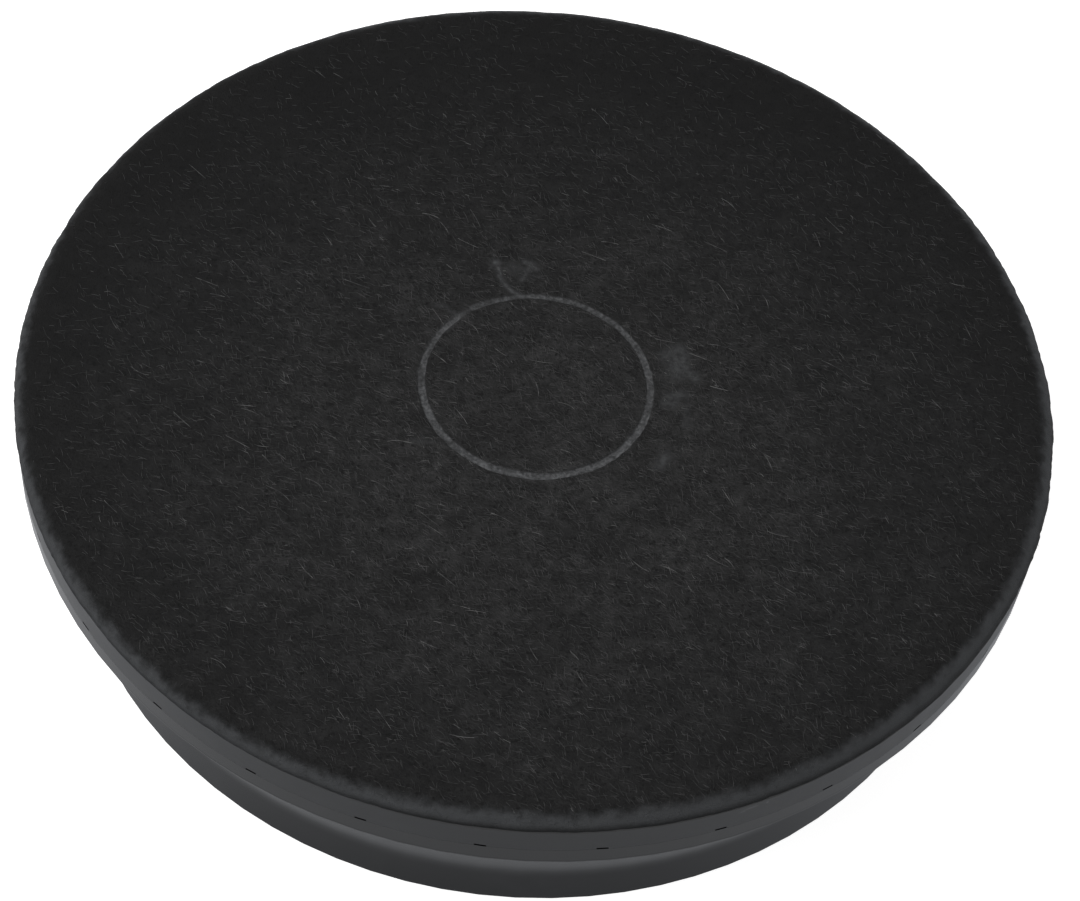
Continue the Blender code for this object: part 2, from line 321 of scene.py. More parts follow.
@dataclass(frozen=True)
class MouldedPlastic:
    """Satin black polypropylene with a fine spark-eroded grain and faint handling marks."""

    name: str
    colour: Colour
    worn_colour: Colour
    roughness: float
    reflectance: float = 0.5
    grain_size: float = 0.00035
    grain_depth: float = 0.00003
    scuffs: tuple[Scuff, ...] = ()

    def material(self) -> Material:
        """Build the finish as a material.

        Returns:
            The new material.
        """
        graph = SurfaceGraph(self.name)
        fine = graph.grain(1.0 / self.grain_size, 3.0)
        clouds = graph.grain(38.0, 4.0)
        smears = graph.grain(160.0, 3.0, distortion=0.8)
        rubbed = graph.times(graph.ramp(clouds, 0.42, 0.68), graph.ramp(smears, 0.4, 0.7))
        body = graph.mixed(rubbed, self.colour, self.worn_colour)
        for scuff in self.scuffs:
            body = graph.mixed(scuff.strength(graph), body, scuff.colour)
        uneven = graph.math("MULTIPLY_ADD", smears, 0.10, self.roughness - 0.05)
        rough = graph.math("MULTIPLY_ADD", fine, 0.06, uneven)
        graph.shade(Base_Color=body, Roughness=rough, IOR=1.5, Specular_IOR_Level=self.reflectance)
        graph.bump(fine, 0.35, self.grain_depth)
        return graph.material


@dataclass(frozen=True)
class NeedleFelt:
    """Black needle felt: matted fibres in slanting layers, pressed smooth at edge and weld, where
    lighter colours partly paint their sheen.
    """

    name: str
    deep: Colour
    fibre: Colour
    pressed: Colour
    smeared: Colour
    weld: Colour

    def matting(self, graph: SurfaceGraph) -> NodeSocket:
        """Lay streaks that slant down to the right, with weaker ones across them.

        Args:
            graph: The tree to build in.

        Returns:
            The fibres' strength from 0 to 1.
        """
        layers = (
            (0.85, (-35.0, 0.0015, 0.00026, 0.50, 0.67, 0.00)),
            (0.80, (-6.0, 0.0013, 0.00026, 0.51, 0.68, 0.21)),
            (0.80, (-64.0, 0.0013, 0.00026, 0.51, 0.68, 0.37)),
            (0.70, (-22.0, 0.0008, 0.00017, 0.52, 0.69, 0.55)),
            (0.70, (-49.0, 0.0008, 0.00017, 0.52, 0.69, 0.71)),
            (0.70, (22.0, 0.0009, 0.00020, 0.54, 0.70, 0.90)),
            (0.70, (-92.0, 0.0009, 0.00020, 0.54, 0.70, 0.13)),
        )
        total: object = 0.0
        for index, (strength, layer) in enumerate(layers):
            patch = graph.ramp(graph.grain(60.0 + 25.0 * index, 2.0), 0.36, 0.62, 0.35, 1.0)
            lines = graph.times(graph.streaks(*layer), strength)
            total = graph.math("MAXIMUM", total, graph.times(patch, lines))
        return total

    def material(self) -> Material:
        """Build the finish as a material.

        Returns:
            The new material.
        """
        graph = SurfaceGraph(self.name)
        lines = self.matting(graph)
        mottle = graph.ramp(graph.grain(260.0, 4.0), 0.34, 0.74, 0.08, 0.50)
        specks = graph.ramp(graph.grain(2100.0, 2.0), 0.58, 0.78, 0.0, 0.45)
        matted = graph.math("ADD", graph.times(lines, 0.68), mottle)
        raised = graph.math("ADD", matted, specks)
        fibres = graph.times(raised, graph.share("cover"), clamp=True)
        body = graph.mixed(fibres, self.deep, self.fibre)
        pits = graph.ramp(graph.grain(1150.0, 2.0), 0.30, 0.43, 0.70, 0.0)
        body = graph.mixed(pits, body, (0.004, 0.004, 0.004))

        # Pressed shoulder: partly its own smoother felt, and partly painted sheen, as its lighter
        # colour stands in for the shine of its pressed face.
        wobble = graph.math("MULTIPLY_ADD", graph.grain(420.0, 4.0), 0.9, -0.45)
        edge = graph.ramp(graph.math("ADD", graph.share("shoulder"), wobble), 0.1, 0.95)
        body = graph.mixed(edge, body, self.pressed)
        # Painted shade: the felt's lower edge is darkened to the deep colour.
        body = graph.mixed(graph.share("painted_edge_shade"), body, self.deep)
        patchy = graph.ramp(graph.grain(900.0, 3.0), 0.25, 0.68, 0.45, 1.0)
        smear = graph.times(graph.share("pressed"), patchy)
        body = graph.mixed(smear, body, self.smeared)
        # Weld ring: melted felt with its own flecks, whose lighter colour partly paints the
        # reflection off its smooth face.
        flecks = graph.ramp(graph.grain(1300.0, 4.0), 0.3, 0.72, 0.42, 1.0)
        weld = graph.times(graph.share("weld"), flecks)
        smooth = graph.math("MAXIMUM", graph.times(edge, 0.8), weld)
        graph.shade(
            Base_Color=graph.mixed(weld, body, self.weld),
            Roughness=graph.ramp(smooth, 0.0, 1.0, 0.97, 0.5),
            Specular_IOR_Level=0.16,
        )
        fine = graph.math("ADD", lines, graph.grain(1500.0, 3.0))
        graph.bump(graph.times(fine, graph.ramp(smooth, 0.0, 1.0, 1.0, 0.3)), 0.8, 0.0004)
        return graph.material


@dataclass(frozen=True)
class LooseFibre:
    """A fine polyester fibre, dull and slightly shiny along its length."""

    name: str
    dark: Colour
    light: Colour

    def material(self) -> Material:
        """Build the finish as a material.

        Returns:
            The new material.
        """
        graph = SurfaceGraph(self.name)
        tone = graph.ramp(graph.grain(420.0, 2.0), 0.35, 0.7)
        graph.shade(
            Base_Color=graph.mixed(tone, self.dark, self.light),
            Roughness=graph.ramp(tone, 0.0, 1.0, 0.7, 0.5),
            Specular_IOR_Level=0.3,
        )
        return graph.material


@dataclass(frozen=True)
class ThinFleece:
    """Thin bonded fleece, with the granules behind it showing as bumps."""

    name: str
    deep: Colour
    fibre: Colour
    granule_size: float

    def material(self) -> Material:
        """Build the finish as a material.

        Returns:
            The new material.
        """
        graph = SurfaceGraph(self.name)
        first = graph.streaks(22.0, 0.0050, 0.00028, 0.52, 0.72, 0.0)
        second = graph.streaks(-51.0, 0.0046, 0.00028, 0.54, 0.74, 0.4)
        web = graph.math("MAXIMUM", first, second)
        graph.shade(
            Base_Color=graph.mixed(web, self.deep, self.fibre),
            Roughness=graph.ramp(web, 0.0, 1.0, 0.95, 0.75),
            Specular_IOR_Level=0.25,
        )
        cells = graph.add("ShaderNodeTexVoronoi", feature="SMOOTH_F1")
        graph.put(cells, Vector=graph.place, Scale=1.0 / self.granule_size)
        lumps = graph.ramp(cells.outputs["Distance"], 0.1, 0.7, 1.0, 0.0)
        graph.bump(graph.math("ADD", lumps, graph.times(web, 0.3)), 0.9, 0.0005)
        return graph.material


@dataclass(frozen=True)
class CarbonGranules:
    """Dull black activated carbon in loose granules."""

    name: str
    dark: Colour
    dusty: Colour
    granule_size: float

    def material(self) -> Material:
        """Build the finish as a material.

        Returns:
            The new material.
        """
        graph = SurfaceGraph(self.name)
        cells = graph.add("ShaderNodeTexVoronoi", feature="F1")
        graph.put(cells, Vector=graph.place, Scale=1.0 / self.granule_size)
        gap = graph.ramp(cells.outputs["Distance"], 0.2, 0.7)
        dust = graph.ramp(graph.grain(900.0, 3.0), 0.5, 0.75)
        graph.shade(
            Base_Color=graph.mixed(dust, self.dark, self.dusty),
            Roughness=graph.ramp(dust, 0.0, 1.0, 0.62, 0.95),
        )
        graph.bump(graph.math("SUBTRACT", 1.0, gap), 1.0, 0.0009)
        return graph.material


def add_piece(name: str, mesh: Mesh) -> Object:
    """Put a mesh in the scene as an object at the origin.

    Args:
        name: The piece's name.
        mesh: Its mesh.

    Returns:
        The new object.
    """
    piece = bpy.data.objects.new(name, mesh)
    bpy.context.scene.collection.objects.link(piece)
    return piece


def fasten(piece: Object, slot: str, *nodes: str) -> Object:
    """Let a finished piece ride on the body, hide the nodes that it stands for and log its
    triangles.

    Args:
        piece: The finished piece.
        slot: The record's material slot; not used.
        nodes: The nodes that it stands for.

    Returns:
        The same piece.
    """
    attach(piece, BODY)
    if nodes:
        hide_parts(*nodes)
    piece.data.calc_loop_triangles()
    log.info("%s: %d triangles", piece.name, len(piece.data.loop_triangles))
    return piece


def unit(values: np.ndarray) -> np.ndarray:
    """Keep values from 0 to 1."""
    return np.clip(values, 0.0, 1.0)


def off_axis(place: Vector) -> float:
    """Measure how far a place lies from the filter's axis."""
    return math.hypot(place.x, place.y)


def move_to(vert: BMVert, radius: float) -> None:
    """Move a corner straight out from the axis, or in, to a radius.

    Args:
        vert: The corner.
        radius: Its new distance from the axis.
    """
    scale = radius / off_axis(vert.co)
    vert.co.x *= scale
    vert.co.y *= scale


def finished(shape: BMesh, name: str) -> Mesh:
    """Turn a shape into a smooth mesh, and free the shape.

    Args:
        shape: The finished shape.
        name: The mesh's name.

    Returns:
        The new mesh.
    """
    mesh = bpy.data.meshes.new(name)
    shape.to_mesh(mesh)
    shape.free()
    mesh.shade_smooth()
    return mesh


def flatten(shape: BMesh) -> None:
    """Merge the faces of a shape that lie in one plane.

    Args:
        shape: The shape to clean.
    """
    bmesh.ops.dissolve_limit(
        shape,
        angle_limit=math.radians(0.5),
        verts=shape.verts,
        edges=shape.edges,
        delimit={"NORMAL"},
    )


@dataclass(frozen=True)
class RoundSheet:
    """A closed round piece made of rings of points, from the middle of its top to its underside."""

    rings: tuple[tuple[float, float, int], ...]

    def mesh(self, name: str) -> Mesh:
        """Join the rings into a closed mesh.

        Args:
            name: The mesh's name.

        Returns:
            The mesh. Where a ring has twice its neighbour's points, triangles join them.
        """
        shape = bmesh.new()
        loops = []
        for radius, height, count in self.rings:
            turns = np.arange(count) * (math.tau / count)
            places = np.stack([radius * np.cos(turns), radius * np.sin(turns)], axis=1)
            loops.append([shape.verts.new((x, y, height)) for x, y in places])
        self.fan(shape, loops[0], self.rings[0][1])
        for inner, outer in zip(loops, loops[1:]):
            self.band(shape, inner, outer)
        self.fan(shape, loops[-1], self.rings[-1][1])
        bmesh.ops.recalc_face_normals(shape, faces=shape.faces)
        return finished(shape, name)

    @staticmethod
    def fan(shape: BMesh, loop: list[BMVert], height: float) -> None:
        """Close a ring with triangles about the axis.

        Args:
            shape: The shape under way.
            loop: The ring's corners.
            height: The height of the point in the middle.
        """
        middle = shape.verts.new((0.0, 0.0, height))
        for first, second in zip(loop, loop[1:] + loop[:1]):
            shape.faces.new((first, second, middle))

    @staticmethod
    def band(shape: BMesh, inner: list[BMVert], outer: list[BMVert]) -> None:
        """Join two rings, whose counts are equal or one twice the other.

        Args:
            shape: The shape under way.
            inner: The first ring's corners.
            outer: The next ring's corners.
        """
        count = max(len(inner), len(outer))
        for step in range(count):
            a = inner[step * len(inner) // count]
            b = inner[(step + 1) % count * len(inner) // count]
            c = outer[(step + 1) % count * len(outer) // count]
            d = outer[step * len(outer) // count]
            shape.faces.new(list(dict.fromkeys((a, b, c, d))))


class FibreForm(Enum):
    """The bends of a loose fibre, as the heights and offsets of its middle and end."""

    SHALLOW = ((0.5, 0.08, 0.030), (1.0, 0.0, 0.004))
    CURVED = ((0.45, 0.16, 0.040), (0.98, 0.02, 0.010))
    HOOKED = ((0.65, 0.14, 0.050), (0.92, -0.14, 0.002))


@dataclass(frozen=True)
class FibreField:
    """Loose fibres scattered over a felt surface by a node tree."""

    name: str
    density: float
    seed: int
    shortest: float
    longest: float
    thickness: float
    lean: float
    drift: float
    spread: float
    lift: float
    inner_radius: float = 0.0
    outer_radius: float = 1.0
    steps: int = 4

    def inputs(self, finish: Material) -> dict[str, tuple[str, object]]:
        """List the node tree's inputs, each with its socket type and its value.

        Args:
            finish: The fibres' material.

        Returns:
            The inputs, keyed by name.
        """
        numbers = (
            "Density", "Shortest", "Longest", "Thickness", "Lean", "Drift", "Spread", "Lift",
            "Inner Radius", "Outer Radius",
        )
        listed = {
            name: ("NodeSocketFloat", getattr(self, name.lower().replace(" ", "_")))
            for name in numbers
        }
        listed["Seed"] = ("NodeSocketInt", self.seed)
        listed["Fibre Finish"] = ("NodeSocketMaterial", finish)
        return listed

    def tree(self, inputs: dict[str, tuple[str, object]]) -> NodeTree:
        """Build the node tree that scatters the fibres.

        Args:
            inputs: Its inputs, as inputs() lists them.

        Returns:
            A geometry node tree with named inputs.
        """
        tree = bpy.data.node_groups.new(self.name + "_tree", "GeometryNodeTree")
        kinds = {"Geometry": "NodeSocketGeometry"} | {n: kind for n, (kind, _) in inputs.items()}
        for name, kind in kinds.items():
            tree.interface.new_socket(name=name, in_out="INPUT", socket_type=kind)
        tree.interface.new_socket(name="Fibres", in_out="OUTPUT", socket_type="NodeSocketGeometry")
        graph = NodeGraph(tree)
        given = graph.add("NodeGroupInput").outputs

        place = graph.add("ShaderNodeSeparateXYZ")
        graph.put(place, Vector=graph.add("GeometryNodeInputPosition").outputs[0])
        across, along = place.outputs["X"], place.outputs["Y"]
        squares = graph.math("MULTIPLY_ADD", across, across, graph.times(along, along))
        radius = graph.math("SQRT", squares)
        within = graph.math(
            "MULTIPLY",
            graph.math("GREATER_THAN", radius, given["Inner Radius"]),
            graph.math("LESS_THAN", radius, given["Outer Radius"]),
        )
        up = graph.add("ShaderNodeSeparateXYZ")
        graph.put(up, Vector=graph.add("GeometryNodeInputNormal").outputs[0])
        facing = graph.math("GREATER_THAN", up.outputs["Z"], -0.2)
        cover = graph.add("GeometryNodeInputNamedAttribute", data_type="FLOAT")
        graph.put(cover, Name="cover")
        scatter = graph.add("GeometryNodeDistributePointsOnFaces")
        graph.put(
            scatter,
            Mesh=given["Geometry"],
            Selection=graph.times(within, facing),
            Density=graph.times(given["Density"], cover.outputs["Attribute"]),
            Seed=given["Seed"],
        )

        drifted = graph.math("MULTIPLY_ADD", across, given["Drift"], given["Lean"])
        spread = given["Spread"]
        jitter = self.random(graph, graph.times(spread, -1.0), spread, 1)
        turn = graph.add("FunctionNodeAxisAngleToRotation")
        graph.put(turn, Axis=(0.0, 0.0, 1.0), Angle=graph.math("ADD", drifted, jitter))
        tilt = graph.add("FunctionNodeAxisAngleToRotation")
        rise = self.random(graph, graph.times(given["Lift"], -1.0), 0.0, 2)
        graph.put(tilt, Axis=(0.0, 1.0, 0.0), Angle=rise)
        laid = graph.add("FunctionNodeAlignRotationToVector", axis="Z")
        graph.put(laid, Rotation=turn.outputs[0], Vector=scatter.outputs["Normal"])
        aimed = graph.add("FunctionNodeRotateRotation", rotation_space="LOCAL")
        graph.put(aimed, Rotation=laid.outputs[0], Rotate_By=tilt.outputs[0])

        size = self.random(graph, given["Shortest"], given["Longest"], 3)
        bend = graph.times(size, self.random(graph, -1.0, 1.0, 4))
        scale = graph.add("ShaderNodeCombineXYZ")
        graph.put(scale, X=size, Y=bend, Z=size)

        bunch = graph.add("GeometryNodeInstanceOnPoints")
        graph.put(
            bunch,
            Points=scatter.outputs["Points"],
            Instance=self.forms(graph),
            Pick_Instance=True,
            Instance_Index=self.random(graph, 0, len(FibreForm) - 1, 5, whole=True),
            Rotation=aimed.outputs[0],
            Scale=scale.outputs[0],
        )
        real = graph.add("GeometryNodeRealizeInstances")
        graph.put(real, Geometry=bunch.outputs[0])
        thick = graph.add("GeometryNodeCurveToMesh")
        section = graph.add("GeometryNodeCurvePrimitiveCircle", mode="RADIUS")
        graph.put(section, Resolution=3, Radius=given["Thickness"])
        outline = section.outputs["Curve"]
        graph.put(thick, Curve=real.outputs[0], Profile_Curve=outline, Fill_Caps=True)
        dressed = graph.add("GeometryNodeSetMaterial")
        graph.put(dressed, Geometry=thick.outputs[0], Material=given["Fibre Finish"])
        graph.put(graph.add("NodeGroupOutput"), Fibres=dressed.outputs[0])
        return tree

    @staticmethod
    def random(
        graph: NodeGraph, low: object, high: object, seed: int, whole: bool = False
    ) -> NodeSocket:
        """Add a random value with a fixed seed.

        Args:
            graph: The tree to build in.
            low: The least value.
            high: The greatest value.
            seed: The seed.
            whole: Whether the value is a whole number.

        Returns:
            The value's socket.
        """
        node = graph.add("FunctionNodeRandomValue", data_type="INT" if whole else "FLOAT")
        graph.put(node, Min=low, Max=high, Seed=seed)
        return next(s for s in node.outputs if s.enabled)

    def forms(self, graph: NodeGraph) -> NodeSocket:
        """Draw each fibre form as a curve one unit long.

        Args:
            graph: The tree to build in.

        Returns:
            The forms, each as an instance.
        """
        joined = graph.add("GeometryNodeJoinGeometry")
        for form in FibreForm:
            (mid_x, mid_y, mid_z), (end_x, end_y, end_z) = form.value
            curve = graph.add("GeometryNodeCurveQuadraticBezier")
            graph.put(
                curve,
                Resolution=self.steps,
                Start=(0.0, 0.0, 0.0),
                Middle=(mid_x, mid_y, mid_z),
                End=(end_x, end_y, end_z),
            )
            single = graph.add("GeometryNodeGeometryToInstance")
            graph.put(single, Geometry=curve.outputs[0])
            graph.tree.links.new(single.outputs[0], joined.inputs[0])
        return joined.outputs[0]

    def grow(self, surface: Mesh, finish: Material) -> Object:
        """Scatter the fibres over a surface and keep them as a plain mesh.

        Args:
            surface: The felt's mesh.
            finish: The fibres' material.

        Returns:
            The piece with the fibres.
        """
        inputs = self.inputs(finish)
        tree = self.tree(inputs)
        piece = add_piece(self.name, surface)
        modifier = piece.modifiers.new("fibres", "NODES")
        modifier.node_group = tree
        for item in tree.interface.items_tree:
            if item.in_out == "INPUT" and item.name in inputs:
                modifier[item.identifier] = inputs[item.name][1]
        graph = bpy.context.evaluated_depsgraph_get()
        mesh = bpy.data.meshes.new_from_object(piece.evaluated_get(graph), depsgraph=graph)
        piece.modifiers.remove(modifier)
        mesh.name = self.name
        piece.data = mesh
        return piece


@dataclass(frozen=True)
class PressMark:
    """A smooth mark where a tool pressed the felt, along a short path of polar points."""

    path: tuple[tuple[float, float], ...]
    width: float
    strength: float

    def at(self, places: np.ndarray) -> np.ndarray:
        """Give the mark's strength at some places.

        Args:
            places: One row (x, y) for each place.

        Returns:
            A strength from 0 to 1 for each place.
        """
        polar = [(r * MILLIMETRE, math.radians(a)) for r, a in self.path]
        stops = [np.array((r * math.cos(turn), r * math.sin(turn))) for r, turn in polar]
        nearest = np.full(len(places), 1.0)
        for start, end in zip(stops, stops[1:] or stops):
            run = end - start
            share = ((places - start) @ run) / max(float(run @ run), 1e-12)
            foot = start + np.clip(share, 0.0, 1.0)[:, None] * run
            nearest = np.minimum(nearest, np.linalg.norm(places - foot, axis=1))
        return self.strength * np.exp(-((nearest / self.width) ** 2))


# Each mark's path as (millimetres from the axis, degrees), its width in metres and strength.
PRESS_MARKS = (
    (((36.8, 110.5),), 0.00120, 1.00),
    (((36.8, 110.5), (34.7, 110.0), (32.3, 110.8), (29.9, 109.3)), 0.00055, 1.00),
    (((29.9, 109.3), (27.7, 106.9), (26.6, 103.4)), 0.00055, 1.00),
    (((36.4, 100.2), (35.7, 97.6), (34.6, 96.2)), 0.00090, 0.75),
    (((35.7, 97.6), (33.0, 100.0), (30.9, 102.1)), 0.00055, 0.70),
    (((34.6, 105.5), (34.2, 99.5)), 0.00220, 0.34),
    (((30.4, 25.4), (32.8, 26.9), (34.7, 26.6), (34.3, 22.2), (33.9, 15.8)), 0.00135, 0.66),
    (((33.9, 15.8), (35.2, 13.2), (35.8, 12.4)), 0.00135, 0.70),
    (((31.5, 15.9), (32.4, 20.8), (32.6, 24.2)), 0.00230, 0.72),
    (((29.7, 3.0), (32.4, 4.4)), 0.00130, 0.72),
    (((28.9, -0.8), (30.7, -0.3)), 0.00120, 0.66),
    (((33.4, -1.2), (34.5, -10.5)), 0.00090, 0.42),
    (((33.7, -32.7), (33.7, -29.5), (33.7, -27.1)), 0.00140, 0.72),
    (((26.0, 149.0), (26.2, 142.0), (26.5, 136.0)), 0.00070, 0.85),
    (((26.1, 138.3), (30.1, 138.8), (32.3, 141.0)), 0.00055, 0.60),
    (((28.7, -138.9), (32.5, -143.6)), 0.00070, 0.45),
)


@dataclass
class FeltTop:
    """The felt disc: a soft shoulder with a ragged pressed edge, a weld ring and press marks."""

    shoulder_width: float = 0.0048
    ring_radius: float = 0.02565
    ring_thin: float = 0.00125
    ring_thick: float = 0.00180
    ring_thick_side: float = math.radians(282.0)
    ring_break: float = math.radians(134.2)
    ring_depth: float = 0.00035
    ring_lip: float = 0.00008
    ring_centre: tuple[float, float] = (-0.00048, 0.00051)
    ring_wobble: float = 0.00020
    ring_inset: float = 0.00010
    ring_soft: float = 0.00026
    break_half: float = 0.0013
    break_soft: float = 0.0008
    mark_depth: float = 0.00012
    ripple: float = 0.00012
    ragged: float = 0.00030
    droop: float = 0.00042
    droop_side: float = math.radians(190.0)
    fray_depth: float = 0.00016
    edge_height: float = 0.0012
    edge_width: float = 0.0016
    edge_soft: float = 0.0012
    # Height and softness of the painted shade along the felt's lower edge; the softness also shapes
    # the edge's droop.
    edge_shade_height: float = 0.0013
    low_edge_soft: float = 0.0010
    shoulder_start: float = 0.0044
    shoulder_soft: float = 0.0034
    shoulder_left: float = 0.0012
    upper_from: float = 0.0008
    thick_nap: tuple[float, float] = (0.006, -0.024)
    nap_from: float = 0.034
    nap_fall: float = 0.088
    nap_loss: float = 0.82
    under_inset: float = 0.0006
    under_ring: float = 0.0120
    under_middle: float = 0.3
    shoulder_rings: int = 13
    coarse: int = 90
    round_steps: int = 360
    edge_steps: int = 720

    def __post_init__(self) -> None:
        """Read the disc's size from the frame."""
        low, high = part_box("top_felt")
        self.under = low.z
        self.top = high.z
        self.radius = (high.x - low.x) / 2.0
        self.marks = tuple(PressMark(*mark) for mark in PRESS_MARKS)

    def profile(self) -> tuple[tuple[float, float, int], ...]:
        """List the disc's rings from the middle of the top, over the shoulder, to the underside.

        Returns:
            The rings, each as its radius, its height and its number of points.
        """
        zones = (
            (np.arange(2.0, 20.1, 2.0), self.coarse),
            (np.arange(21.0, 23.1, 1.0), 2 * self.coarse),
            (np.arange(23.5, 24.1, 0.5), self.round_steps),
            (np.arange(24.2, 27.1, 0.14), self.round_steps),
            (np.arange(27.5, 40.1, 0.5), self.round_steps),
            (np.arange(42.0, 110.1, 2.0), self.round_steps),
        )
        rings = [(r * MILLIMETRE, self.top, count) for radii, count in zones for r in radii]
        start = self.radius - self.shoulder_width
        fall = self.top - self.under
        bend = (self.shoulder_width**2 + fall**2) / (2.0 * fall)
        for across in np.linspace(0.0, self.shoulder_width, self.shoulder_rings):
            drop = bend - math.sqrt(bend**2 - across**2)
            rings.append((start + across, self.top - drop, self.edge_steps))
        rings.append((self.radius - self.under_inset, self.under, self.edge_steps))
        rings.append((self.radius - self.under_ring, self.under, self.round_steps))
        rings.append((self.radius * self.under_middle, self.under, 2 * self.coarse))
        return tuple(rings)

    def weld_share(self, places: np.ndarray) -> np.ndarray:
        """Give how far each place lies in the weld ring, which is uneven and broken once.

        Args:
            places: One row (x, y, z) for each place.

        Returns:
            0 off the ring and 1 on it.
        """
        away = places[:, :2] - np.array(self.ring_centre)
        turn = np.arctan2(away[:, 1], away[:, 0])
        uneven = self.ring_wobble * self.patterned(places, (160.0, 600.0, 1400.0))
        worn = np.clip(0.86 + 0.5 * self.patterned(places, (240.0, 900.0)), 0.45, 1.0)
        off = np.abs(np.hypot(away[:, 0], away[:, 1]) - self.ring_radius + uneven)
        thick = 0.5 + 0.5 * np.cos(turn - self.ring_thick_side)
        half = (self.ring_thin + (self.ring_thick - self.ring_thin) * thick) / 2.0
        ring = unit(1.0 - (off - half + self.ring_inset) / self.ring_soft)
        gap = np.abs(np.angle(np.exp(1j * (turn - self.ring_break)))) * self.ring_radius
        faint = np.where(away[:, 1] > 0.0, 0.84, 1.0)
        whole = np.clip((gap - self.break_half) / self.break_soft, 0.30, 1.0)
        return ring * worn * faint * whole

    def left_share(self, places: np.ndarray) -> np.ndarray:
        """Give how far round to the drooping side each place lies, from 0 to 1."""
        turn = np.arctan2(places[:, 1], places[:, 0])
        return unit((np.cos(turn - self.droop_side) - 0.25) / 0.35)

    def cover_share(self, places: np.ndarray, bare: np.ndarray) -> np.ndarray:
        """Give how thick the nap is at each place, thickest at the front of the middle.

        Args:
            places: One row (x, y, z) for each place.
            bare: Where the felt is pressed and has no nap, from 0 to 1.

        Returns:
            The nap's thickness from 0 to 1.
        """
        away = np.hypot(places[:, 0] - self.thick_nap[0], places[:, 1] - self.thick_nap[1])
        worn = 1.0 - self.nap_loss * unit((away - self.nap_from) / self.nap_fall) ** 1.1
        patches = np.clip(0.79 + 0.30 * self.patterned(places, (60.0, 170.0)), 0.3, 1.1)
        return unit(worn * patches * (1.0 - bare))

    def shape(self, mesh: Mesh) -> None:
        """Press the ring and the marks into the felt, ripple it and fray its edge.

        Args:
            mesh: The disc's mesh, whose vertices are moved.
        """
        places = np.empty(len(mesh.vertices) * 3)
        mesh.vertices.foreach_get("co", places)
        places = places.reshape(-1, 3)
        radii = np.hypot(places[:, 0], places[:, 1])
        upper = places[:, 2] > self.under + self.upper_from
        pressed = np.zeros(len(places))
        for mark in self.marks:
            pressed = np.maximum(pressed, mark.at(places[:, :2]))
        weld = self.weld_share(places)
        left = self.left_share(places)
        inside = radii - self.radius + self.shoulder_start - self.shoulder_left * left
        # Painted shade: the felt's edge darkens towards its underside, where shade falls, and less
        # on the drooping left side.
        low = unit((self.under + self.edge_shade_height - places[:, 2]) / self.low_edge_soft)
        bare = unit(np.maximum(3.0 * pressed - 0.5, 0.78 * weld))
        values = {
            "pressed": np.where(upper, pressed, 0.0),
            "weld": np.where(upper, weld, 0.0),
            "shoulder": unit(inside / self.shoulder_soft),
            "painted_edge_shade": low * (0.85 - 0.6 * left),
            "cover": self.cover_share(places, bare),
        }
        lips = self.ring_lip * unit(4.0 * weld * (1.0 - weld))
        sunk = self.ring_depth * weld + self.mark_depth * pressed
        soft = self.patterned(places, (55.0, 190.0, 520.0))
        places[:, 2] += np.where(upper, lips - sunk + self.ripple * soft, 0.0)
        fray = self.patterned(places * (1.0, 1.0, 0.4), (230.0, 700.0))
        lowest = unit((self.under + self.edge_height - places[:, 2]) / self.low_edge_soft)
        outer = unit((radii - self.radius + self.edge_width) / self.edge_soft)
        places[:, 2] -= lowest * outer * (self.droop * left + self.fray_depth * (fray - 0.3))
        inward = self.ragged * np.clip(fray, -0.3, 2.0) * outer
        places[:, :2] *= (1.0 - inward / radii.clip(0.001))[:, None]
        mesh.vertices.foreach_set("co", places.ravel())
        for name, share in values.items():
            layer = mesh.attributes.new(name, "FLOAT", "POINT")
            layer.data.foreach_set("value", share.astype(np.float32))
        mesh.update()

    @staticmethod
    def patterned(places: np.ndarray, scales: tuple[float, ...]) -> np.ndarray:
        """Sum noise of a few sizes at each place, each finer one weaker.

        Args:
            places: One row (x, y, z) for each place.
            scales: The noises' features in a metre.

        Returns:
            About -1 to 1 for each place.
        """
        total = np.zeros(len(places))
        for order, scale in enumerate(scales):
            total += 0.7**order * np.array([noise.noise(Vector(row)) for row in places * scale])
        return total

    @staticmethod
    def finish() -> NeedleFelt:
        """Make the disc's finish.

        Returns:
            The finish.
        """
        return NeedleFelt(
            name="needle_felt",
            deep=(0.0068, 0.0069, 0.0070),
            fibre=(0.049, 0.049, 0.0495),
            # The shoulder's colour: partly painted sheen of its pressed face.
            pressed=(0.047, 0.049, 0.052),
            smeared=(0.085, 0.087, 0.090),
            # The weld ring's colour: partly painted reflection off its smooth melted face.
            weld=(0.122, 0.125, 0.130),
        )

